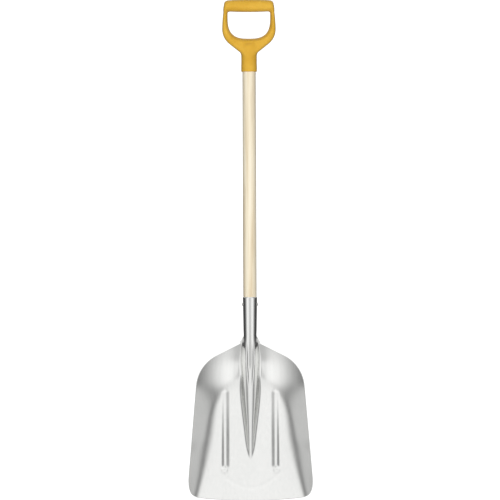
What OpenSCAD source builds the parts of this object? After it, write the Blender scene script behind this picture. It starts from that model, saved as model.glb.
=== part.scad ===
// Grain scoop shovel: moulded D-grip, ash shaft, one-sheet pressed aluminium scoop with a rolled socket.
// Millimetres. The shovel hangs upright: +Z up along the shaft, and the scoop's load side faces -Y.
// The origin is the middle of the underside of the grip's bar, where a hand or a hook carries it.

/* [Overall] */
// Height from the crown of the grip down to the scoop's tip
overall_h = 1310; // [1200:5:1400]
// Width of the scoop at its widest
scoop_w = 325; // [310:1:340]
// Diameter of the shaft
shaft_d = 35; // [34:0.1:35.2]

/* [Grip] */
// Width of the D-grip
grip_w = 140; // [134:1:146]
// Depth of the grip's bar, front to back
bar_depth = 36; // [32:1:38]
// Depth of the grip's arms, front to back
arm_depth = 27; // [24:1:32]
// Outside diameter of the grip's sleeve
sleeve_d = 41; // [40:0.5:43]
// Length of shaft held inside the sleeve
sleeve_hold = 44; // [36:1:45]

/* [Scoop] */
// Thickness of the aluminium sheet
sheet_t = 1.8; // [1.4:0.1:2]
// Angle of the scoop's floor to the shaft
floor_angle = 26; // [25:0.5:27]
// Angle of the side walls to the floor
wall_angle = 45; // [40:0.5:48]
// Height of the two pressed ribs
rib_h = 4.5; // [3:0.5:6]

/* [Fasteners] */
// Diameter of the cross rivet's shank
rivet_d = 6; // [5:0.5:7]
// Diameter of the cross rivet's domed heads
rivet_head_d = 10; // [9:0.5:12]
// Diameter of the screw that holds the grip
screw_d = 5; // [4:0.5:5.5]

/* [Hidden] */
$fn = 64;

// heights along the shaft
bar_h = 33;
hand_h = 68;
neck_z = -111;
mouth_z = -157;
tip_z = bar_h - overall_h + sheet_t * sin(floor_angle);
scoop_l = 405;
shoulder_z = tip_z + scoop_l;
unroll_l = 45;
edge_unroll_l = 30;
socket_l = 123;
socket_top_z = shoulder_z + socket_l;
rivet_z = socket_top_z - 19;
screw_z = -133;

// the rolled socket: its outer radius at the mouth and below, and how far round the frog's foot and the
// sheet's edge wrap
socket_r_top = 18.75;
socket_r = 17.5;
foot_wrap = 150;
wrap_angle = 177;

// the scoop's outline, as half-widths: shoulder, side and the arc between them, and the front corner
shoulder_half_w = 27.9;
shoulder_slope = 2.03;
side_flare = 0.0815;
side_half_w = scoop_w / 2 - sheet_t * sin(wall_angle);
widest_h = 58;
shoulder_r = 95;
lip_half_w = side_half_w - 33;
lip_bow = 11;

// the dish behind the load: the heel's deepest line, and how fast the sheet curves below, above and across it
heel_back = 18;
heel_h = scoop_l - 93;
heel_curve = 0.0013;
shoulder_curve = 0.0022;
heel_dish = 0.003;
dish_fade_h = [40, 170];
// how softly the heel meets the floor, beside the frog and farther out
arch_blend_mid = 14;
arch_blend = 6;
arch_x = [28, 45];
// the crease between floor and side wall, and how softly it is rounded at the tip and higher up
crease_half_w = 103;
crease_h = 266;
crease_blend_tip = 12;
crease_blend = 24;
crease_blend_h = 180;
// the side walls lie down where they run out into the shoulders
wall_end = 0.45;
wall_end_h = [245, 340];

// the frog: the raised ridge that carries the socket's front down into the scoop
frog_lean = 15.5;
frog_bend = 65;
// its crest narrows between two distances below the shoulder, and its foot fillet grows from the shoulder on
crest_r_low = 9;
crest_d = [110, 260];
foot_r_top = 3;
foot_r_low = 11;
foot_d = 45;
// angle of its flanks at the shoulder, at their steepest and at the low end, and where the last two lie
flank_top = 47;
flank_steep = 78;
flank_low = 68;
flank_d = [80, 220];

// the ribs: where their crests lie, how far their flanks reach inwards and outwards, and where their ends are
rib_x = 66;
rib_in_w = 15;
rib_out_w = 12;
rib_low_h = 82;
rib_high_h = 276;

function mix(a, b, t) = a * (1 - t) + b * t;
function ramp(a, b, t) = min(1, max(0, (t - a) / (b - a)));
function smooth(t) = t * t * (3 - 2 * t);
function soft_min(a, b, k) = (a + b - sqrt((a - b) * (a - b) + k * k)) / 2;
function soft_max(a, b, k) = -soft_min(-a, -b, k);

// Outline: half-width of the sheet at the height h above the tip
function shoulder_line(h) = shoulder_half_w + (scoop_l - h) * shoulder_slope;
function side_line(h) = side_half_w - (h - widest_h) * side_flare;
corner_h = (shoulder_half_w + scoop_l * shoulder_slope - side_half_w - widest_h * side_flare)
    / (shoulder_slope - side_flare);
side_turn = atan(side_flare);
corner_turn = atan(shoulder_slope) - side_turn;
corner_t = shoulder_r * tan(corner_turn / 2);
arc_low_h = corner_h - corner_t * cos(side_turn);
arc_high_h = corner_h + corner_t * cos(atan(shoulder_slope));
arc_x = side_line(arc_low_h) - shoulder_r * cos(side_turn);
arc_h = arc_low_h - shoulder_r * sin(side_turn);
function front_line(h) =
    mix(lip_half_w, side_half_w, pow(1 - pow(1 - h / widest_h, 2.8), 1 / 2.8));
function half_w(h) =
    h < widest_h ? front_line(h)
    : h < arc_low_h ? side_line(h)
    : h < arc_high_h ? arc_x + sqrt(pow(shoulder_r, 2) - pow(h - arc_h, 2))
    : shoulder_line(h);

// Dish: how far back the sheet lies at x across and h above the tip, before frog and ribs
function floor_y(h) = heel_back - (heel_h - h) * tan(floor_angle);
function heel_y(x, h) =
    heel_back - (h > heel_h ? shoulder_curve : heel_curve) * pow(heel_h - h, 2)
    - heel_dish * x * x * smooth(ramp(dish_fade_h[0], dish_fade_h[1], h));
function crease_x(h) =
    let (d = crease_h - h)
    crease_half_w + (d > 0 ? 0.045 * d + 0.00042 * d * d : 0.0026 * d * d);
function wall_slope(h) = tan(wall_angle) * mix(1, wall_end, smooth(ramp(wall_end_h[0], wall_end_h[1], h)));
function wall_y(x, h) = floor_y(h) - (abs(x) - crease_x(h)) * wall_slope(h);
function dish_y(x, h) =
    let (
        arch = mix(arch_blend_mid, arch_blend, smooth(ramp(arch_x[0], arch_x[1], abs(x)))),
        crease = mix(crease_blend_tip, crease_blend, smooth(ramp(0, crease_blend_h, h)))
    )
    soft_min(soft_min(floor_y(h), heel_y(x, h), arch), wall_y(x, h), crease);

// Ribs: height of the pressed rib above the dish, a soft ridge with rounded ends
function rib(x, h) =
    let (
        across = abs(x) - rib_x,
        along = max(rib_low_h - h, 0) + max(h - rib_high_h, 0),
        reach = across > 0 ? rib_out_w : rib_in_w
    )
    rib_h * smooth(1 - ramp(0, reach, norm([across, along])));

// Frog: a cross-section of crest arc, flank and foot fillet, at the distance d below the shoulder
function frog_h(d) =
    let (h = scoop_l - d)
    max(0.02, dish_y(0, h) + socket_r + tan(frog_lean) * soft_max(0, d - frog_bend, 20));
function crest_r(d) = mix(socket_r, crest_r_low, smooth(ramp(crest_d[0], crest_d[1], d)));
function foot_r(d) = mix(foot_r_top, foot_r_low, smooth(ramp(0, foot_d, d)));
function flank_angle(d) =
    min(
        mix(mix(flank_top, flank_steep, ramp(0, flank_d[0], d)), flank_low, ramp(flank_d[0], flank_d[1], d)),
        acos(1 - min(1, frog_h(d) / (crest_r(d) + foot_r(d))))
    );
function flank_l(d) =
    let (a = flank_angle(d))
    max(0, (frog_h(d) - (crest_r(d) + foot_r(d)) * (1 - cos(a))) / sin(a));
function frog_half_w(d) =
    (crest_r(d) + foot_r(d)) * sin(flank_angle(d)) + flank_l(d) * cos(flank_angle(d));
// one point of that section, [across, below the crest], for t from the crest (0) to the foot (1)
function frog_point(d, t) =
    let (
        a = flank_angle(d), r = crest_r(d), q = foot_r(d), l = flank_l(d),
        arc = r * a * PI / 180, foot = q * a * PI / 180, s = t * (arc + l + foot)
    )
    s < arc ? [r * sin(s / arc * a), r * (1 - cos(s / arc * a))]
    : s < arc + l ? [r * sin(a) + (s - arc) * cos(a), r * (1 - cos(a)) + (s - arc) * sin(a)]
    : let (b = a * (1 - (s - arc - l) / foot))
        [frog_half_w(d) - q * sin(b), frog_h(d) - q * (1 - cos(b))];

// Stations across half of the sheet: the frog's share first, then the dish out to the edge
frog_steps = 8;
dish_steps = 14;
half_steps = frog_steps + dish_steps;
function station(k, h) =
    let (c = min(crease_x(h), side_line(h) - 14), w = side_line(h))
    [35, 43, rib_x - rib_in_w, rib_x - rib_in_w / 2, rib_x, rib_x + rib_out_w / 2, rib_x + rib_out_w,
        mix(rib_x + rib_out_w, c, 0.5), c - 6, c + 2, mix(c, w, 0.25), mix(c, w, 0.45), mix(c, w, 0.7), w][k];

// a point of the open sheet, for the step j from the middle (0) to the edge (half_steps)
function open_point(j, v) =
    let (d = scoop_l - v, b = frog_half_w(d))
    j <= frog_steps ?
        let (f = frog_point(d, j / frog_steps))
        [f[0], dish_y(f[0], v) - frog_h(d) + f[1], v]
    :
        let (
            g = (station(j - frog_steps - 1, v) - b) / (side_line(v) - b),
            x = mix(b, half_w(v), g),
            h = v + lip_bow * pow(ramp(0, 1, 1 - v / 60) * x / side_half_w, 2)
        )
        [x, dish_y(x, h) - rib(x, h), h];
// the same step on the closed socket
function wrap(j) =
    j <= frog_steps ? j / frog_steps * foot_wrap : mix(foot_wrap, wrap_angle, (j - frog_steps) / dish_steps);
function socket_point(j, v) =
    let (r = mix(socket_r, socket_r_top, ramp(scoop_l + unroll_l, scoop_l + socket_l, v)))
    [r * sin(wrap(j)), -r * cos(wrap(j)), v];
// how far a step has rolled up: the sheet's edge closes like a trumpet's bell, its middle in an even curve
function roll(j, v) =
    mix(
        smooth(ramp(scoop_l, scoop_l + unroll_l, v)),
        pow(ramp(scoop_l, scoop_l + edge_unroll_l, v), 2),
        ramp(0.3 * frog_steps, frog_steps, j)
    );
function sheet_point(j, v) =
    v <= scoop_l ? open_point(j, v)
    : let (p = open_point(j, scoop_l), q = socket_point(j, v))
        mix([p[0], p[1], v], q, roll(j, v));
function mirrored(p) = [-p[0], p[1], p[2]];

// Rows from the tip up to the socket's mouth, closer together where the sheet bends
rows = concat(
    [0, 1, 3, 6, 10, 15, 21, 28, 36, 46],
    [for (v = [58 : 14 : 282]) v],
    [for (v = [291 : 7 : 403]) v],
    [for (v = [scoop_l : 5 : scoop_l + unroll_l]) v],
    [for (v = [468, 490, 509, scoop_l + socket_l]) v]
);
columns = 2 * half_steps + 1;
front = [for (v = rows) [for (i = [-half_steps : half_steps])
    let (p = i < 0 ? mirrored(sheet_point(-i, v)) : sheet_point(i, v)) p + [0, 0, tip_z]]];

// The back of the sheet lies one thickness behind the front, along the surface's own normal
last = len(rows) - 1;
function unit(p) = p / norm(p);
function normal(r, c) =
    unit(cross(
        front[min(r + 1, last)][c] - front[max(r - 1, 0)][c],
        front[r][min(c + 1, columns - 1)] - front[r][max(c - 1, 0)]
    ));
back = [for (r = [0 : last]) [for (c = [0 : columns - 1]) front[r][c] + sheet_t * normal(r, c)]];

// pressed and rolled from one sheet: dish, ribs, frog and the socket, open along its back
module sheet() {
    n = columns * (last + 1);
    function at(r, c, side) = side * n + r * columns + c;
    points = concat([for (row = front) each row], [for (row = back) each row]);
    faces = concat(
        [for (r = [0 : last - 1]) for (c = [0 : columns - 2]) each [
            [at(r, c, 0), at(r + 1, c, 0), at(r + 1, c + 1, 0)],
            [at(r, c, 0), at(r + 1, c + 1, 0), at(r, c + 1, 0)],
            [at(r, c, 1), at(r + 1, c + 1, 1), at(r + 1, c, 1)],
            [at(r, c, 1), at(r, c + 1, 1), at(r + 1, c + 1, 1)]]],
        [for (r = [0 : last - 1]) each [
            [at(r, 0, 0), at(r, 0, 1), at(r + 1, 0, 1)],
            [at(r, 0, 0), at(r + 1, 0, 1), at(r + 1, 0, 0)],
            [at(r, columns - 1, 0), at(r + 1, columns - 1, 1), at(r, columns - 1, 1)],
            [at(r, columns - 1, 0), at(r + 1, columns - 1, 0), at(r + 1, columns - 1, 1)]]],
        [for (c = [0 : columns - 2]) each [
            [at(0, c, 0), at(0, c + 1, 1), at(0, c, 1)],
            [at(0, c, 0), at(0, c + 1, 0), at(0, c + 1, 1)],
            [at(last, c, 0), at(last, c, 1), at(last, c + 1, 1)],
            [at(last, c, 0), at(last, c + 1, 1), at(last, c + 1, 0)]]]
    );
    polyhedron(points, faces);
}

module across_x(r, l) {
    rotate([0, 90, 0]) cylinder(r = r, h = l, center = true);
}

module blade() {
    color("gainsboro") difference() {
        sheet();
        translate([0, 0, rivet_z]) across_x(rivet_d / 2, 3 * socket_r_top);
    }
}

// ash shaft: full size between grip and socket, turned down to sit in the socket, blunt taper below
fit_gap = 0.1;
socket_bore_top = socket_r_top - sheet_t - fit_gap;
socket_bore = socket_r - sheet_t - 2 * fit_gap;
module shaft() {
    top_z = mouth_z + sleeve_hold;
    color("wheat") difference() {
        rotate_extrude() polygon([
            [0, top_z], [shaft_d / 2 - 2, top_z], [shaft_d / 2, top_z - 3],
            [shaft_d / 2, socket_top_z + 1.5], [socket_bore_top, socket_top_z],
            [socket_bore, shoulder_z + unroll_l], [12.5, shoulder_z + 8],
            [9, shoulder_z - 16], [5, shoulder_z - 22], [0, shoulder_z - 24]
        ]);
        translate([0, 0, rivet_z]) across_x(rivet_d / 2, 3 * socket_r_top);
        translate([0, -screw_reach, screw_z]) rotate([-90, 0, 0]) cylinder(d = screw_d, h = 60);
    }
}

// moulded D-grip: crowned bar, two arms that meet in a neck, and the sleeve over the shaft
screw_reach = 8;
screw_head_d = 9.5;
screw_head_h = 2.4;
screw_head_seat = sleeve_d / 2 - 3;
module grip_outline() {
    hull() {
        for (s = [-1, 1]) {
            translate([s * (grip_w / 2 - 24), 9]) circle(r = 23);
            translate([s * (grip_w / 2 - 24), -42]) circle(r = 24);
        }
        translate([0, neck_z + 12]) circle(d = sleeve_d - 2);
    }
}
module hand_opening() {
    hull() for (s = [-1, 1]) {
        translate([s * 44, -4]) circle(r = 10);
        translate([s * 21, 28 - hand_h]) circle(r = 28);
    }
}
module d_grip() {
    bar_l = grip_w - 12;
    color("orange") difference() {
        union() {
            difference() {
                rotate([90, 0, 0]) linear_extrude(arm_depth, center = true) grip_outline();
                rotate([90, 0, 0]) linear_extrude(2 * arm_depth, center = true) hand_opening();
            }
            // the bar, a shallow barrel
            translate([0, 0, bar_h / 2]) scale([1, bar_depth / bar_h, 1]) rotate([0, 90, 0])
                rotate_extrude() polygon([
                    [0, -bar_l / 2], [bar_h / 2 - 3, -bar_l / 2], [bar_h / 2 - 1, 20 - bar_l / 2],
                    [bar_h / 2, 0],
                    [bar_h / 2 - 1, bar_l / 2 - 20], [bar_h / 2 - 3, bar_l / 2], [0, bar_l / 2]
                ]);
            // sleeve, with a rolled mouth and a cone that runs out into the neck
            rotate_extrude() polygon([
                [0, mouth_z], [sleeve_d / 2 - 0.8, mouth_z], [sleeve_d / 2, mouth_z + 1.5],
                [sleeve_d / 2, neck_z], [arm_depth / 2, neck_z + 24], [0, neck_z + 26]
            ]);
        }
        translate([0, 0, mouth_z - 1]) cylinder(r = shaft_d / 2 + fit_gap, h = sleeve_hold + 2);
        translate([0, 0, screw_z]) rotate([-90, 0, 0]) {
            cylinder(d = screw_d, h = 60);
            translate([0, 0, screw_head_seat]) cylinder(d = screw_head_d + 0.4, h = 60);
        }
    }
}

// one rivet across the socket, headed over on both sides
rivet_head_h = 2.4;
rivet_seat = mix(socket_r, socket_r_top, (rivet_z - shoulder_z - unroll_l) / (socket_l - unroll_l));
module socket_rivet() {
    head_r = rivet_head_d / 2;
    dome_r = (head_r * head_r + rivet_head_h * rivet_head_h) / (2 * rivet_head_h);
    dome_x = rivet_seat + rivet_head_h - dome_r;
    half_turn = asin(head_r / dome_r);
    dome = [for (a = [0 : 8]) [dome_r * sin(half_turn * a / 8), dome_x + dome_r * cos(half_turn * a / 8)]];
    shank = [rivet_d / 2, rivet_seat];
    side = concat(dome, [shank]);
    color("silver") translate([0, 0, rivet_z]) rotate([0, 90, 0]) rotate_extrude()
        polygon(concat(side, [for (i = [len(side) - 1 : -1 : 0]) [side[i][0], -side[i][1]]]));
}

// screw from behind, through the sleeve into the shaft
module grip_screw() {
    shank_d = screw_d - 2 * fit_gap;
    color("darkgray") translate([0, 0, screw_z]) rotate([-90, 0, 0]) difference() {
        union() {
            translate([0, 0, 1 - screw_reach]) cylinder(d1 = 1.5, d2 = shank_d, h = 5);
            translate([0, 0, 6 - screw_reach]) cylinder(d = shank_d, h = screw_head_seat + screw_reach - 6);
            translate([0, 0, screw_head_seat]) cylinder(d = screw_head_d, h = screw_head_h);
        }
        for (a = [0, 90]) rotate([0, 0, a])
            translate([0, 0, screw_head_seat + screw_head_h]) cube([5.5, 1.2, 2.6], center = true);
    }
}

blade();
shaft();
d_grip();
socket_rivet();
grip_screw();
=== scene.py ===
"""Looks of the grain scoop shovel, built around its CAD frame.

Sizes are in millimetres until a mesh is made.
"""
import math

import bpy
import numpy as np
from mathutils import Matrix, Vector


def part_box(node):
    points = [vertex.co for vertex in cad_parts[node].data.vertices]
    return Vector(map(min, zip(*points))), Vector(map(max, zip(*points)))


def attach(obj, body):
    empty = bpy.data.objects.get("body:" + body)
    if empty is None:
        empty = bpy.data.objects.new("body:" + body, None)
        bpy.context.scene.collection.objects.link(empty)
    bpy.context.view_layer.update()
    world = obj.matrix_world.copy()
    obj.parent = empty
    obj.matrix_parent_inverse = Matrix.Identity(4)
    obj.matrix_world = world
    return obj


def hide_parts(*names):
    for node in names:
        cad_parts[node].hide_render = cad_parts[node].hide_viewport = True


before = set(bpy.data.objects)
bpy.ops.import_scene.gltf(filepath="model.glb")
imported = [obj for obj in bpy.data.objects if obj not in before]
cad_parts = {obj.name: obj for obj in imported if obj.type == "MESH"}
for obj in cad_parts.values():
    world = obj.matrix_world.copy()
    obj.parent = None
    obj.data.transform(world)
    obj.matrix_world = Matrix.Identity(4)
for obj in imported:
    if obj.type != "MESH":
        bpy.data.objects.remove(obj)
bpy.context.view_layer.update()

MM = 0.001


def cad_mm(node):
    """Lowest and highest corner of a CAD node, in millimetres."""
    low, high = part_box(node)
    return np.array(low) / MM, np.array(high) / MM


blade_low, blade_high = cad_mm("blade")
shaft_low, shaft_high = cad_mm("shaft")
grip_low, grip_high = cad_mm("d_grip")
rivet_low, rivet_high = cad_mm("socket_rivet")
screw_low, screw_high = cad_mm("grip_screw")


# ---------------------------------------------------------------- small maths
def mix(a, b, t):
    return a * (1 - t) + b * t


def ramp(a, b, t):
    return np.clip((t - a) / (b - a), 0, 1)


def smooth(t):
    return t * t * (3 - 2 * t)


def soft_min(a, b, k):
    return (a + b - np.sqrt((a - b) ** 2 + k * k)) / 2


def soft_max(a, b, k):
    return -soft_min(-a, -b, k)


def bump(t, width):
    return np.exp(-((t / width) ** 2))


# ---------------------------------------------------------------- meshes
def make_piece(name, points_mm, faces, node, material):
    mesh = bpy.data.meshes.new(name)
    mesh.from_pydata((np.asarray(points_mm) * MM).tolist(), [], [list(map(int, f)) for f in faces])
    mesh.validate()
    mesh.polygons.foreach_set("use_smooth", [True] * len(mesh.polygons))
    mesh.materials.append(material)
    piece = bpy.data.objects.new(name, mesh)
    bpy.context.scene.collection.objects.link(piece)
    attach(piece, "root")
    if node:
        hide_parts(node)
    return piece


def grid_faces(rows, columns, start=0, flip=False, wrap=False):
    """Quads over a grid of points, row after row."""
    faces = []
    for r in range(rows - 1):
        for c in range(columns if wrap else columns - 1):
            d = (c + 1) % columns
            quad = [r * columns + c, r * columns + d, (r + 1) * columns + d, (r + 1) * columns + c]
            faces.append([start + i for i in (quad[::-1] if flip else quad)])
    return faces


def lathe(profile, steps=128):
    """Points and faces of a form turned about Z.

    The profile is (radius, height) points that start and end on the axis.
    """
    profile = np.array(profile, float)
    ring = profile[1:-1]
    a = np.linspace(0, 2 * math.pi, steps, endpoint=False)
    points = [
        np.stack([r * np.cos(a), r * np.sin(a), np.full(steps, z)], 1) for r, z in ring
    ]
    points = np.concatenate(points + [[[0, 0, profile[0][1]], [0, 0, profile[-1][1]]]])
    faces = grid_faces(len(ring), steps, wrap=True)
    low, high = len(points) - 2, len(points) - 1
    top = (len(ring) - 1) * steps
    for c in range(steps):
        d = (c + 1) % steps
        faces.append([low, d, c])
        faces.append([high, top + c, top + d])
    return points, faces


def rounded(profile, corners, steps=5):
    """A profile with the listed corners (index: radius) turned into short curves."""
    out = []
    pts = [np.array(p, float) for p in profile]
    for i, p in enumerate(pts):
        if i not in corners:
            out.append(p)
            continue
        before, after = pts[i - 1] - p, pts[i + 1] - p
        cut = corners[i]
        a = p + before / np.linalg.norm(before) * min(cut, np.linalg.norm(before) * 0.49)
        b = p + after / np.linalg.norm(after) * min(cut, np.linalg.norm(after) * 0.49)
        for t in np.linspace(0, 1, steps):
            out.append((1 - t) ** 2 * a + 2 * t * (1 - t) * p + t * t * b)
    return out


def surface_net(field, low, step):
    """A smooth closed mesh around the negative part of a sampled field."""
    cells = tuple(n - 1 for n in field.shape)
    total = np.zeros(cells + (3,))
    count = np.zeros(cells)
    index = np.indices(field.shape).astype(float)
    crossings = []
    for axis in range(3):
        near = [slice(None)] * 3
        far = [slice(None)] * 3
        near[axis], far[axis] = slice(0, -1), slice(1, None)
        a, b = field[tuple(near)], field[tuple(far)]
        cross = (a < 0) != (b < 0)
        t = np.where(cross, a / np.where(cross, a - b, 1), 0)
        place = np.stack([index[k][tuple(near)] + (t if k == axis else 0) for k in range(3)], -1)
        crossings.append((cross, a < 0))
        others = [k for k in range(3) if k != axis]
        for da in (0, 1):
            for db in (0, 1):
                edge = [slice(None)] * 3
                edge[others[0]] = slice(da, da + cells[others[0]])
                edge[others[1]] = slice(db, db + cells[others[1]])
                here = cross[tuple(edge)]
                total += place[tuple(edge)] * here[..., None]
                count += here
    used = count > 0
    number = np.full(cells, -1)
    number[used] = np.arange(used.sum())
    points = np.array(low) + total[used] / count[used][:, None] * step
    faces = []
    for axis, (cross, inside) in enumerate(crossings):
        others = [k for k in range(3) if k != axis]
        core = [slice(None)] * 3
        core[others[0]] = slice(1, -1)
        core[others[1]] = slice(1, -1)
        at = np.argwhere(cross[tuple(core)])
        at[:, others[0]] += 1
        at[:, others[1]] += 1
        sign = inside[tuple(at.T)]
        corners = []
        for da, db in ((0, 0), (1, 0), (1, 1), (0, 1)):
            cell = at.copy()
            cell[:, others[0]] -= da
            cell[:, others[1]] -= db
            corners.append(number[tuple(cell.T)])
        quads = np.stack(corners, 1)
        turned = sign if axis != 1 else ~sign
        quads[~turned] = quads[~turned][:, ::-1]
        faces.append(quads)
    return points, np.concatenate(faces)


def settle(points, field, rounds=2, reach=0.4):
    """Moves points onto the field's zero surface."""
    for _ in range(rounds):
        value = field(*points.T)
        slope = np.stack(
            [
                field(*(points + reach * np.eye(3)[k]).T) - field(*(points - reach * np.eye(3)[k]).T)
                for k in range(3)
            ],
            1,
        ) / (2 * reach)
        points = points - (value / np.maximum((slope**2).sum(1), 0.05))[:, None] * slope
    return points


# ---------------------------------------------------------------- the scoop's sheet
SHEET_T = 1.8
FLOOR_SLOPE = math.tan(math.radians(26))
WALL_SLOPE = math.tan(math.radians(45))
TIP_Z = blade_low[2] + SHEET_T * math.sin(math.radians(26))
SCOOP_L = 405.0
UNROLL_L, EDGE_UNROLL_L = 45.0, 30.0
SOCKET_L = blade_high[2] - TIP_Z - SCOOP_L
SOCKET_R_TOP, SOCKET_R = 18.75, 17.5
FOOT_WRAP, WRAP_ANGLE = math.radians(150), math.radians(177) - SHEET_T / 2 / SOCKET_R
SIDE_HALF_W = blade_high[0] - SHEET_T * math.sin(math.radians(45))
SHOULDER_HALF_W, SHOULDER_SLOPE, SIDE_FLARE = 27.9, 2.03, 0.0815
WIDEST_H, SHOULDER_R = 58.0, 95.0
LIP_HALF_W, LIP_BOW = SIDE_HALF_W - 33, 11.0
HEEL_BACK, HEEL_H = 18.0, SCOOP_L - 93
HEEL_CURVE_LOW, HEEL_CURVE_HIGH, HEEL_CUP = 0.0013, 0.0022, 0.003
HEEL_CUP_LOW_H, HEEL_CUP_HIGH_H = 40, 170
CREASE_H, CREASE_HALF_W = 266.0, 103.0
WALL_END, WALL_END_LOW_H, WALL_END_HIGH_H = 0.45, 245, 340
FROG_LEAN, FROG_BEND = math.tan(math.radians(15.8)), 65.0
CREASE_BLEND_TIP, CREASE_BLEND, CREASE_BLEND_H = 12, 24.0, 180
ARCH_BLEND_MID, ARCH_BLEND = 9, 6
CREST_R_LOW, FOOT_R_TOP, FOOT_R_LOW = 9, 3, 11
RIB_X, RIB_H = 66.5, 4.6
RIB_IN_W, RIB_OUT_W = 15.5, 12.0
RIB_LOW_H, RIB_HIGH_H = 92.0, 276.0
BOSS_X, BOSS_H, BOSS_R, BOSS_RISE = 68.0, 78.0, 10.5, 2.4
DIMPLE_R, DIMPLE_DEPTH = 2.9, 2.2
LIP_CREASE_H, LIP_CREASE_DEPTH, LIP_CREASE_W = 33, 0.4, 5
FRONT_ROUNDNESS = 2.8


def side_line(h):
    return SIDE_HALF_W - (h - WIDEST_H) * SIDE_FLARE


def shoulder_line(h):
    return SHOULDER_HALF_W + (SCOOP_L - h) * SHOULDER_SLOPE


def corner_arc():
    """Centre of the arc between shoulder and side, and the heights where it starts and ends."""
    h = (SHOULDER_HALF_W + SCOOP_L * SHOULDER_SLOPE - SIDE_HALF_W - WIDEST_H * SIDE_FLARE) / (
        SHOULDER_SLOPE - SIDE_FLARE
    )
    side, shoulder = math.atan(SIDE_FLARE), math.atan(SHOULDER_SLOPE)
    reach = SHOULDER_R * math.tan((shoulder - side) / 2)
    low, high = h - reach * math.cos(side), h + reach * math.cos(shoulder)
    return side_line(low) - SHOULDER_R * math.cos(side), low - SHOULDER_R * math.sin(side), low, high


ARC_X, ARC_H, ARC_LOW, ARC_HIGH = corner_arc()


def half_width(h):
    short = 1 - np.clip(h / WIDEST_H, 0, 1)
    front = mix(LIP_HALF_W, SIDE_HALF_W, (1 - short**FRONT_ROUNDNESS) ** (1 / FRONT_ROUNDNESS))
    arc = ARC_X + np.sqrt(np.maximum(SHOULDER_R**2 - (h - ARC_H) ** 2, 0))
    out = np.where(h < WIDEST_H, front, side_line(h))
    out = np.where(h > ARC_LOW, arc, out)
    return np.where(h > ARC_HIGH, shoulder_line(h), out)


def edge_x(h):
    """Half-width where the sheet's round edge starts, half a thickness inside the outline."""
    slope = (half_width(h + 0.2) - half_width(h - 0.2)) / 0.4
    return half_width(h) - SHEET_T / 2 * np.sqrt(1 + slope**2)


def floor_y(h):
    return HEEL_BACK - (HEEL_H - h) * FLOOR_SLOPE


def heel_y(x, h):
    curve = np.where(h > HEEL_H, HEEL_CURVE_HIGH, HEEL_CURVE_LOW)
    cup = HEEL_CUP * x * x * smooth(ramp(HEEL_CUP_LOW_H, HEEL_CUP_HIGH_H, h))
    return HEEL_BACK - curve * (HEEL_H - h) ** 2 - cup


def crease_x(h):
    d = CREASE_H - h
    return CREASE_HALF_W + np.where(d > 0, 0.045 * d + 0.00042 * d * d, 0.0026 * d * d)


def wall_y(x, h):
    slope = WALL_SLOPE * mix(1, WALL_END, smooth(ramp(WALL_END_LOW_H, WALL_END_HIGH_H, h)))
    return floor_y(h) - (abs(x) - crease_x(h)) * slope


def rib(x, h):
    """Height of the two pressed ribs: a soft ridge with rounded ends."""
    across = abs(x) - RIB_X
    along = np.maximum(RIB_LOW_H - h, 0) + np.maximum(h - RIB_HIGH_H, 0)
    away = np.sqrt(across**2 + along**2)
    high = RIB_H * mix(1, 0.75, smooth(ramp(150, RIB_HIGH_H, h)))
    ridge = high * smooth(1 - ramp(0, np.where(across > 0, RIB_OUT_W, RIB_IN_W), away))
    # each lower end runs out into a shallow round boss with a small dimple
    from_boss = np.sqrt((abs(x) - BOSS_X) ** 2 + (h - BOSS_H) ** 2)
    boss = BOSS_RISE * soft_max(0, 1 - (from_boss / BOSS_R) ** 2, 0.15)
    boss = boss - DIMPLE_DEPTH * soft_max(0, 1 - from_boss / DIMPLE_R, 0.2)
    ridge = ridge * smooth(ramp(3, 10, from_boss))
    return soft_max(ridge, np.where(from_boss < 2 * BOSS_R, boss, 0), 1.0)


def lip_crease(x, h):
    """A shallow curved crease ahead of the ribs."""
    along = h - LIP_CREASE_H - 0.0066 * x * x
    return LIP_CREASE_DEPTH * bump(along, LIP_CREASE_W) * (1 - smooth(ramp(55, 85, abs(x))))


def dish_y(x, h, pressed=True):
    floor = floor_y(h)
    if pressed:
        floor = floor - rib(x, h) + lip_crease(x, h)
    blend = mix(CREASE_BLEND_TIP, CREASE_BLEND, smooth(ramp(0, CREASE_BLEND_H, h)))
    arch = mix(ARCH_BLEND_MID, ARCH_BLEND, smooth(ramp(28, 45, abs(x))))
    return soft_min(soft_min(floor, heel_y(x, h), arch), wall_y(x, h), blend)


def frog_height(d):
    lean = SOCKET_R + FROG_LEAN * soft_max(0, d - FROG_BEND, 20)
    return np.maximum(0.02, dish_y(0, SCOOP_L - d, False) + lean)


def frog_section(d, t):
    """Across and below-the-crest of the frog's section at d below the shoulder, t from crest to foot."""
    height = frog_height(d)
    crest = mix(SOCKET_R, CREST_R_LOW, smooth(ramp(110, 260, d)))
    foot = mix(FOOT_R_TOP, FOOT_R_LOW, smooth(ramp(0, 45, d)))
    a = np.minimum(
        np.radians(mix(mix(47, 78, ramp(0, 80, d)), 68, ramp(80, 220, d))),
        np.arccos(1 - np.minimum(1, height / (crest + foot))),
    )
    flank = np.maximum(0, (height - (crest + foot) * (1 - np.cos(a))) / np.sin(a))
    width = (crest + foot) * np.sin(a) + flank * np.cos(a)
    s = t * (crest * a + flank + foot * a)
    b1 = np.minimum(s / crest, a)
    s2 = np.clip(s - crest * a, 0, flank)
    b3 = a * (1 - np.clip((s - crest * a - flank) / (foot * a), 0, 1))
    in_foot = s > crest * a + flank
    across = np.where(in_foot, width - foot * np.sin(b3), crest * np.sin(b1) + s2 * np.cos(a))
    below = np.where(in_foot, height - foot * (1 - np.cos(b3)), crest * (1 - np.cos(b1)) + s2 * np.sin(a))
    return across, below, width, height


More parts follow.
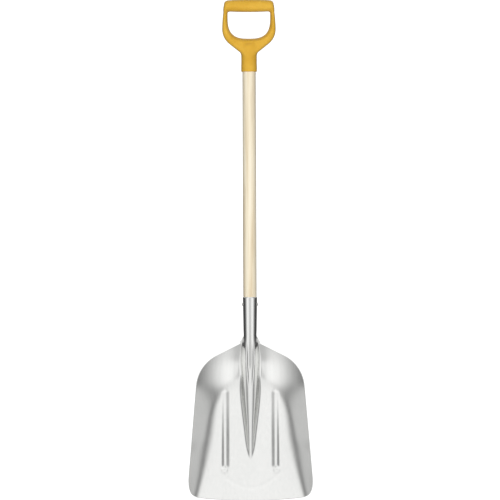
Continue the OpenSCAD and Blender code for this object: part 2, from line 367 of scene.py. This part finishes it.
def frog_fold(x, below, d):
    """The crest's flat top and the shelf on either side of it, as a shift away from the load side."""
    narrow = mix(mix(1, 0.72, smooth(ramp(50, 80, d))), 0.45, smooth(ramp(80, 120, d)))
    fade = smooth(ramp(-20, 40, d)) * (1 - smooth(ramp(75, 125, d)))
    u = abs(x) / narrow
    flat = -0.75 * below * (1 - smooth(ramp(4, 7.5, u)))
    shelf = 0.9 * bump(u - 9.3, 2.6)
    return fade * (flat + shelf)


FROG_STEPS, DISH_STEPS = 40, 104


def sheet_rows():
    """Heights of the sheet's rows, closer together where it bends."""
    return np.concatenate([
        np.array([0.9, 1.4, 2, 2.7, 3.5, 4.5, 5.7, 7, 8.5, 10, 11.8, 13.5, 15.5, 17.7, 20, 22.5, 25, 27.5]),
        np.arange(30, 66, 2.6),
        np.arange(66, 91, 1.4),
        np.arange(93, 260, 2.6),
        np.arange(260, SCOOP_L - 1, 2.2),
        np.linspace(SCOOP_L, SCOOP_L + UNROLL_L, 28),
        np.linspace(SCOOP_L + UNROLL_L + 4, SCOOP_L + SOCKET_L - SHEET_T / 2, 18),
    ])


def sheet_front():
    """The load side of the sheet as a grid of points, and the same grid's order across."""
    v = sheet_rows()[:, None]
    d = np.clip(SCOOP_L - v, 0, None)
    vv = SCOOP_L - d
    t = np.linspace(0, 1, FROG_STEPS + 1)[None, :]
    fx, below, width, height = frog_section(d, t)
    fy = dish_y(fx, vv) - height + below + frog_fold(fx, below, SCOOP_L - v)
    g = np.linspace(0, 1, DISH_STEPS + 1)[None, 1:]
    dx = mix(width, np.maximum(edge_x(vv), width + 0.1), g)
    dh = vv + LIP_BOW * (np.clip(1 - vv / 60, 0, 1) * dx / SIDE_HALF_W) ** 2
    dyy = dish_y(dx, dh)
    x = np.concatenate([fx, dx], 1)
    y = np.concatenate([fy, dyy], 1)
    z = np.concatenate([vv + 0 * fx, dh], 1)
    # rows above the shoulder roll up into the socket: the edge closes like a trumpet's bell
    j = np.arange(FROG_STEPS + DISH_STEPS + 1)[None, :]
    middle = smooth(ramp(SCOOP_L, SCOOP_L + UNROLL_L, v))
    edge = ramp(SCOOP_L, SCOOP_L + EDGE_UNROLL_L, v) ** 2
    roll = mix(middle, edge, ramp(0.3 * FROG_STEPS, FROG_STEPS, j))
    turn = np.where(
        j <= FROG_STEPS,
        j / FROG_STEPS * FOOT_WRAP,
        mix(FOOT_WRAP, WRAP_ANGLE, (j - FROG_STEPS) / DISH_STEPS),
    )
    r = mix(SOCKET_R, SOCKET_R_TOP, ramp(SCOOP_L + UNROLL_L, SCOOP_L + SOCKET_L, v))
    x = mix(x, r * np.sin(turn), roll)
    y = mix(y, -r * np.cos(turn), roll)
    z = np.where(v > SCOOP_L, v + 0 * z, z)
    half = np.stack([x, y, z + TIP_Z], -1)
    other = half[:, :0:-1] * np.array([-1, 1, 1])
    return np.concatenate([other, half], 1)


def grid_normals(grid):
    along = np.gradient(grid, axis=0)
    across = np.gradient(grid, axis=1)
    n = np.cross(along, across)
    return n / np.linalg.norm(n, axis=-1, keepdims=True)


EDGE_STEPS = 5


def sheet_mesh():
    """The sheet as a closed shell with half-round edges."""
    front = sheet_front()
    normal = grid_normals(front)
    rows, columns = front.shape[:2]
    ring = (
        [(0, c) for c in range(columns)]
        + [(r, columns - 1) for r in range(1, rows)]
        + [(rows - 1, c) for c in range(columns - 2, -1, -1)]
        + [(r, 0) for r in range(rows - 2, 0, -1)]
    )
    rr, cc = np.array(ring).T
    edge = front[rr, cc]
    tangent = np.roll(edge, -1, 0) - np.roll(edge, 1, 0)
    tangent /= np.linalg.norm(tangent, axis=1, keepdims=True)
    outward = np.cross(normal[rr, cc], tangent)
    inner = np.clip(np.array(ring), 1, [rows - 2, columns - 2])
    pointing = ((edge - front[inner[:, 0], inner[:, 1]]) * outward).sum(1)
    outward *= np.where(pointing < 0, -1, 1)[:, None]
    back = front + SHEET_T * normal
    points = [front.reshape(-1, 3), back.reshape(-1, 3)]
    n = rows * columns
    faces = grid_faces(rows, columns, 0, flip=False) + grid_faces(rows, columns, n, flip=True)
    centre = edge + normal[rr, cc] * SHEET_T / 2
    loops = [rr * columns + cc]
    start = 2 * n
    for k in range(1, EDGE_STEPS):
        a = math.pi * k / EDGE_STEPS - math.pi / 2
        rim = centre + SHEET_T / 2 * (normal[rr, cc] * math.sin(a) + outward * math.cos(a))
        points.append(rim)
        loops.append(np.arange(start, start + len(ring)))
        start += len(ring)
    loops.append(rr * columns + cc + n)
    count = len(ring)
    for lower, upper in zip(loops[:-1], loops[1:]):
        for i in range(count):
            k = (i + 1) % count
            faces.append([lower[k], lower[i], upper[i], upper[k]])
    return np.concatenate(points), faces


# ---------------------------------------------------------------- materials
def new_material(name):
    material = bpy.data.materials.new(name)
    material.use_nodes = True
    nodes, links = material.node_tree.nodes, material.node_tree.links
    return material, nodes, links, nodes["Principled BSDF"]


def object_place(nodes, links, scale):
    """Object coordinates stretched by scale, for patterns fixed to the piece."""
    coordinates = nodes.new("ShaderNodeTexCoord")
    mapping = nodes.new("ShaderNodeMapping")
    mapping.inputs["Scale"].default_value = scale
    links.new(coordinates.outputs["Object"], mapping.inputs["Vector"])
    return mapping.outputs["Vector"]


def noise(nodes, links, place, scale, detail=3, roughness=0.5, distortion=0.0):
    node = nodes.new("ShaderNodeTexNoise")
    node.inputs["Scale"].default_value = scale
    node.inputs["Detail"].default_value = detail
    node.inputs["Roughness"].default_value = roughness
    node.inputs["Distortion"].default_value = distortion
    links.new(place, node.inputs["Vector"])
    return node.outputs["Fac"]


def colour_ramp(nodes, links, value, stops):
    node = nodes.new("ShaderNodeValToRGB")
    elements = node.color_ramp.elements
    while len(elements) < len(stops):
        elements.new(0.5)
    for element, (position, colour) in zip(elements, stops):
        element.position = position
        element.color = (*colour, 1)
    links.new(value, node.inputs["Fac"])
    return node.outputs["Color"]


def map_range(nodes, links, value, low, high, from_low=0.0, from_high=1.0):
    node = nodes.new("ShaderNodeMapRange")
    node.inputs["From Min"].default_value = from_low
    node.inputs["From Max"].default_value = from_high
    node.inputs["To Min"].default_value = low
    node.inputs["To Max"].default_value = high
    links.new(value, node.inputs["Value"])
    return node.outputs["Result"]


def maths(nodes, links, operation, a, b=None):
    node = nodes.new("ShaderNodeMath")
    node.operation = operation
    for socket, value in zip(node.inputs, (a, b)):
        if value is None:
            continue
        if isinstance(value, (int, float)):
            socket.default_value = value
        else:
            links.new(value, socket)
    return node.outputs[0]


def add_bump(nodes, links, shader, height, strength, distance, normal=None):
    node = nodes.new("ShaderNodeBump")
    node.inputs["Strength"].default_value = strength
    node.inputs["Distance"].default_value = distance
    links.new(height, node.inputs["Height"])
    if normal is not None:
        links.new(normal, node.inputs["Normal"])
    links.new(node.outputs["Normal"], shader.inputs["Normal"])
    return node.outputs["Normal"]


def aluminium_material():
    material, nodes, links, shader = new_material("scoop_aluminium")
    shader.inputs["Metallic"].default_value = 1.0
    streaks = noise(nodes, links, object_place(nodes, links, (1, 1, 0.03)), 160, 2, 0.5)
    clouds = noise(nodes, links, object_place(nodes, links, (1, 1, 0.5)), 9, 3, 0.55)
    both = maths(nodes, links, "ADD", maths(nodes, links, "MULTIPLY", streaks, 0.5),
                 maths(nodes, links, "MULTIPLY", clouds, 0.5))
    links.new(colour_ramp(nodes, links, both, [(0.3, (0.83, 0.835, 0.82)), (0.7, (0.9, 0.9, 0.885))]),
              shader.inputs["Base Color"])
    links.new(map_range(nodes, links, both, 0.13, 0.2, 0.25, 0.75), shader.inputs["Roughness"])
    add_bump(nodes, links, shader, streaks, 0.05, 0.0004)
    return material


def wood_material():
    material, nodes, links, shader = new_material("shaft_wood")
    shader.inputs["Roughness"].default_value = 0.38
    shader.inputs["Coat Weight"].default_value = 0.25
    shader.inputs["Coat Roughness"].default_value = 0.25
    place = object_place(nodes, links, (1, 1, 0.035))
    bands = noise(nodes, links, place, 95, 3, 0.5, 0.6)
    pores = noise(nodes, links, object_place(nodes, links, (1, 1, 0.02)), 700, 2, 0.6)
    tone = maths(nodes, links, "ADD", maths(nodes, links, "MULTIPLY", bands, 0.75),
                 maths(nodes, links, "MULTIPLY", pores, 0.25))
    links.new(colour_ramp(nodes, links, tone, [
        (0.3, (0.66, 0.54, 0.36)), (0.48, (0.83, 0.74, 0.56)), (0.7, (0.9, 0.84, 0.7))]),
        shader.inputs["Base Color"])
    add_bump(nodes, links, shader, pores, 0.15, 0.0003)
    return material


def plastic_material():
    material, nodes, links, shader = new_material("grip_plastic")
    shader.inputs["Specular IOR Level"].default_value = 0.35
    shader.inputs["Subsurface Weight"].default_value = 0.04
    shader.inputs["Subsurface Radius"].default_value = (0.004, 0.002, 0.0005)
    clouds = noise(nodes, links, object_place(nodes, links, (1, 1, 1)), 30, 3, 0.6)
    grain = noise(nodes, links, object_place(nodes, links, (1, 1, 1)), 1500, 2, 0.6)
    links.new(colour_ramp(nodes, links, clouds, [(0.3, (0.62, 0.345, 0.028)), (0.7, (0.71, 0.42, 0.05))]),
              shader.inputs["Base Color"])
    links.new(map_range(nodes, links, clouds, 0.3, 0.42), shader.inputs["Roughness"])
    add_bump(nodes, links, shader, grain, 0.08, 0.0002)
    return material


def fastener_material(name, colour, rough):
    material, nodes, links, shader = new_material(name)
    shader.inputs["Metallic"].default_value = 1.0
    marks = noise(nodes, links, object_place(nodes, links, (1, 1, 1)), 500, 3, 0.6)
    darker = tuple(c * 0.85 for c in colour)
    links.new(colour_ramp(nodes, links, marks, [(0.35, darker), (0.65, colour)]), shader.inputs["Base Color"])
    links.new(map_range(nodes, links, marks, rough - 0.06, rough + 0.1), shader.inputs["Roughness"])
    add_bump(nodes, links, shader, marks, 0.1, 0.0002)
    return material


# ---------------------------------------------------------------- pieces
def build_blade():
    points, faces = sheet_mesh()
    return make_piece("scoop", points, faces, "blade", aluminium_material())


def build_shaft():
    r = shaft_high[0]
    top, low = shaft_high[2], shaft_low[2]
    socket_top = blade_high[2]
    shoulder = TIP_Z + SCOOP_L
    bore_top = SOCKET_R_TOP - SHEET_T - 0.1
    bore = SOCKET_R - SHEET_T - 0.2
    profile = [
        (0, low), (5, shoulder - 22), (9, shoulder - 16), (12.5, shoulder + 8),
        (bore, shoulder + UNROLL_L), (bore_top, socket_top), (r, socket_top + 1.5),
        (r, socket_top + 200), (r, top - 200), (r, top - 3), (r - 2, top), (0, top),
    ]
    points, faces = lathe(rounded(profile, {1: 4, 2: 6, 3: 8, 5: 0.4, 6: 0.6, 9: 1.2, 10: 1.2}))
    return make_piece("ash_shaft", points, faces, "shaft", wood_material())


def blend_min(a, b, k):
    h = np.clip(0.5 + 0.5 * (b - a) / k, 0, 1)
    return mix(b, a, h) - k * h * (1 - h)


def blend_max(a, b, k):
    return -blend_min(-a, -b, k)


MOUTH_Z = grip_low[2]
BAR_TOP = grip_high[2] - 0.4
SLEEVE_R = 20.4
BORE_R = shaft_high[0] + 0.15
GRIP_HALF_W = grip_high[0]


def grip_outline(x, z):
    """Distance outside the grip's outline, seen from the front."""
    x = abs(x)
    top = z - (BAR_TOP - 2.4 * (x / 58) ** 2)
    upper = (x - (69 - 0.22 * z)) * 0.975
    side = x - GRIP_HALF_W - 0.3
    lower = 0.619 * x - 0.786 * z - 97.8
    out = blend_max(blend_max(top, upper, 9), side, 10)
    return blend_max(out, lower, 20)


def hand_opening(x, z):
    """Distance outside the hand opening."""
    x = abs(x)
    depth = np.maximum(-12 - z, 0)
    power = 2.9
    ring = ((x / 54) ** power + (depth / 56) ** power) ** (1 / power)
    return blend_max((ring - 1) * 55, z - 1.5 * (x / 54) ** 2, 8)


def grip_field(x, y, z):
    inside = hand_opening(x, z)
    # the face falls away in a rounded bevel towards the hand opening
    bevel = 11.7 * (np.maximum(0, 11 - inside) / 11) ** 1.7
    depth = 13.4 + 4.4 * smooth(ramp(72, 112, -z)) - bevel
    body = blend_max(blend_max(grip_outline(x, z), -inside, 8), abs(y) - depth, 12)
    bar_high = BAR_TOP - 2.4 * (x / 58) ** 2
    bar_low = 1.5 * (x / 54) ** 2
    middle, half = (bar_high + bar_low) / 2, (bar_high - bar_low) / 2
    power = 2.3
    bar = (((abs(y) / 17.6) ** power + (abs(z - middle) / half) ** power) ** (1 / power) - 1) * half
    bar = blend_max(bar, grip_outline(x, z), 9)
    out = blend_min(body, bar, 5)
    across = np.sqrt(x * x + y * y)
    collar = SLEEVE_R + 0.3 * ramp(138.3, 139.3, -z)
    sleeve = blend_max(across - collar, z + 84, 10)
    out = blend_min(out, sleeve, 6)
    out = blend_max(out, MOUTH_Z - z, 1.6)
    bore = blend_max(across - BORE_R, z + 112, 1)
    out = blend_max(out, -bore, 0.8)
    hole = np.sqrt(x * x + (z - SCREW_Z) ** 2) - 5.0
    hole = blend_max(hole, 12 - y, 0.5)
    return blend_max(out, -hole, 0.8)


SCREW_Z = (screw_low[2] + screw_high[2]) / 2


def build_grip():
    step = 1.25
    low = np.array([-74.0, -24.0, MOUTH_Z - 4])
    high = np.array([74.0, 24.0, BAR_TOP + 4])
    axes = [np.arange(low[k], high[k] + step, step) for k in range(3)]
    x, y, z = np.meshgrid(*axes, indexing="ij")
    points, faces = surface_net(grip_field(x, y, z), low, step)
    points = settle(points, grip_field)
    return make_piece("d_grip_moulding", points, faces, "d_grip", plastic_material())


def build_rivet():
    z = (rivet_low[2] + rivet_high[2]) / 2
    head_r = (rivet_high[2] - rivet_low[2]) / 2
    rise = 2.4
    seat = rivet_high[0] - rise
    dome = [(head_r * math.sin(a), seat + rise * math.cos(a)) for a in np.linspace(0, math.pi / 2, 12)]
    side = [(head_r, seat - 0.2), (3, seat - 0.6)]
    profile = dome + side + [(r, -h) for r, h in reversed(side)] + [(r, -h) for r, h in reversed(dome)]
    profile = [(r, -h) for r, h in profile]
    points, faces = lathe(profile, 64)
    points = points[:, [2, 1, 0]] * np.array([1, -1, 1]) + np.array([0, 0, z])
    return make_piece("cross_rivet", points, faces, "socket_rivet",
                      fastener_material("rivet_metal", (0.82, 0.82, 0.81), 0.3))


def build_screw():
    head = screw_high[1]
    tip, shank_r, head_r = -7, 2.4, 4.75
    profile = rounded([
        (0, tip), (0.75, tip), (shank_r, tip + 5), (shank_r, head - 2.4),
        (head_r, head - 2.3), (head_r, head - 0.7), (2.2, head), (0, head - 0.1),
    ], {4: 0.2, 5: 0.6})
    points, faces = lathe(profile, 64)
    points = np.stack([points[:, 0], points[:, 2], -points[:, 1] + SCREW_Z], 1)
    return make_piece("grip_screw_body", points, faces, "grip_screw",
                      fastener_material("screw_steel", (0.62, 0.62, 0.6), 0.32))


# ---------------------------------------------------------------- stage, light and camera
def build_stage():
    material, nodes, links, shader = new_material("pale_floor")
    shader.inputs["Roughness"].default_value = 0.9
    shader.inputs["Emission Color"].default_value = (1, 1, 1, 1)
    place = object_place(nodes, links, (1, 1, 1))
    tone = noise(nodes, links, place, 3, 2)
    links.new(colour_ramp(nodes, links, tone, [(0.3, (0.9, 0.9, 0.9)), (0.7, (0.93, 0.93, 0.93))]),
              shader.inputs["Base Color"])
    # the floor glows towards its rim, so that it runs out into the white studio
    far = nodes.new("ShaderNodeVectorMath")
    far.operation = "LENGTH"
    links.new(place, far.inputs[0])
    glow = map_range(nodes, links, far.outputs["Value"], 0.35, 1.1, 1.7, 3.1)
    links.new(glow, shader.inputs["Emission Strength"])
    z = blade_low[2] * MM - 0.3
    size = 3.0
    steps = 64
    turns = np.linspace(0, 2 * math.pi, steps, endpoint=False)
    ring = [(size * math.cos(a), size * math.sin(a), z) for a in turns]
    mesh = bpy.data.meshes.new("floor")
    mesh.from_pydata(ring, [], [list(range(steps))])
    mesh.materials.append(material)
    floor = bpy.data.objects.new("floor", mesh)
    bpy.context.scene.collection.objects.link(floor)
    floor.visible_glossy = False
    floor.visible_diffuse = False


def build_world():
    """A studio: bright in front, dim at the camera, dark at the sides and behind, light low behind."""
    world = bpy.data.worlds.new("studio")
    bpy.context.scene.world = world
    world.use_nodes = True
    nodes, links = world.node_tree.nodes, world.node_tree.links
    background = nodes["Background"]
    split = nodes.new("ShaderNodeSeparateXYZ")
    links.new(nodes.new("ShaderNodeTexCoord").outputs["Generated"], split.inputs[0])
    x, y, z = split.outputs

    def calc(operation, a, b=None):
        return maths(nodes, links, operation, a, b)

    def fade(value, low, high, from_low, from_high):
        result = map_range(nodes, links, value, low, high, from_low, from_high)
        result.node.interpolation_type = "SMOOTHSTEP"
        return result

    turn = calc("MULTIPLY", calc("ARCTAN2", calc("ABSOLUTE", x), calc("MULTIPLY", y, -1.0)), 180 / math.pi)
    # level with the shovel the sides are nearly black; higher up they are grey and start nearer the front.
    # both get lighter again towards the back
    level_side = calc("MULTIPLY", fade(turn, 0, 1, 34, 96), fade(turn, 1, 0.7, 150, 178))
    # the lower part of the studio behind the shovel stays light for its back
    low_back = calc("MULTIPLY", fade(turn, 0, 1, 84, 104), fade(z, 0.85, 0, -0.5, -0.22))
    level_side = calc("MULTIPLY", level_side, calc("SUBTRACT", 1.0, low_back))
    upper_side = calc("MULTIPLY", fade(turn, 0, 1, 22, 60), fade(turn, 1, 0.5, 62, 84))
    upper_side = calc("MULTIPLY", upper_side, fade(turn, 1, 0.3, 120, 150))
    lift = fade(z, 0, 1, 0.06, 0.26)
    level_side = calc("MULTIPLY", calc("MULTIPLY", level_side, calc("SUBTRACT", 1.0, lift)), 0.93)
    upper_side = calc("MULTIPLY", calc("MULTIPLY", upper_side, lift), fade(z, 0.68, 0, 0.66, 0.84))
    side = calc("SUBTRACT", calc("SUBTRACT", 1.0, level_side), upper_side)
    # the camera's dark shape, a dim floor that reaches higher below the camera, and a soft lamp on each side
    off_camera = calc("ADD", calc("MULTIPLY", x, x), calc("MULTIPLY", z, z))
    camera = calc("MULTIPLY", fade(off_camera, 0.3, 0, 0.012, 0.11), fade(y, 1, 0, -0.6, -0.3))
    floor = fade(z, 0.36, 0, -0.66, -0.5)
    near_floor = calc("MULTIPLY", fade(z, 0.34, 0, -0.42, -0.28), fade(turn, 1, 0, 22, 46))
    lamps = calc("MULTIPLY", fade(turn, 0, 0.2, 20, 40), fade(turn, 1, 0, 50, 75))
    lamps = calc("MULTIPLY", lamps, fade(calc("ABSOLUTE", z), 1, 0, 0.15, 0.5))
    above = fade(z, 0.13, 0, 0.5, 0.92)
    front = calc("ADD", calc("SUBTRACT", 1.04, camera), lamps)
    front = calc("SUBTRACT", calc("SUBTRACT", front, above), calc("MAXIMUM", floor, near_floor))
    strength = calc("MULTIPLY", front, side)
    # rays from the camera see plain white, and dull surfaces get a part of this light only
    path = nodes.new("ShaderNodeLightPath")
    for ray, value in (("Is Diffuse Ray", 0.25), ("Is Camera Ray", 1.2)):
        chosen = nodes.new("ShaderNodeMix")
        chosen.data_type = "FLOAT"
        links.new(path.outputs[ray], chosen.inputs["Factor"])
        links.new(strength, chosen.inputs["A"])
        chosen.inputs["B"].default_value = value
        strength = chosen.outputs["Result"]
    links.new(strength, background.inputs["Strength"])
    background.inputs["Color"].default_value = (1, 1, 1, 1)


def build_lights():
    """Wide soft lamps in front and behind, for the wood, the plastic and the floor."""
    for name, side, energy in (("key", -1, 238.0), ("back_light", 1, 110.0)):
        lamp = bpy.data.lights.new(name, "AREA")
        lamp.shape = "DISK"
        lamp.size = 3.0
        lamp.energy = energy
        holder = bpy.data.objects.new(name, lamp)
        bpy.context.scene.collection.objects.link(holder)
        holder.location = (0.0, 5.0 * side, -0.3)
        holder.rotation_euler = (math.radians(-90 * side), 0, 0)
        holder.visible_glossy = False
        holder.visible_camera = False


def build_camera():
    """Straight in front, far off with a long lens, level with the middle of the shovel."""
    field = 1.3125
    distance = 14.0
    camera = bpy.data.cameras.new("camera")
    camera.sensor_width = 36.0
    camera.lens = camera.sensor_width * distance / field
    camera.clip_start, camera.clip_end = 0.1, 100
    holder = bpy.data.objects.new("camera", camera)
    bpy.context.scene.collection.objects.link(holder)
    middle_z = (blade_low[2] * MM + grip_high[2] * MM) / 2 - 0.0028
    holder.location = (0.0006, -distance, middle_z)
    holder.rotation_euler = (math.radians(90), math.radians(0.22), 0)
    bpy.context.scene.camera = holder


scene = bpy.context.scene
scene.view_settings.view_transform = "Standard"
build_world()
build_lights()
build_camera()
build_stage()
build_blade()
build_shaft()
build_grip()
build_rivet()
build_screw()
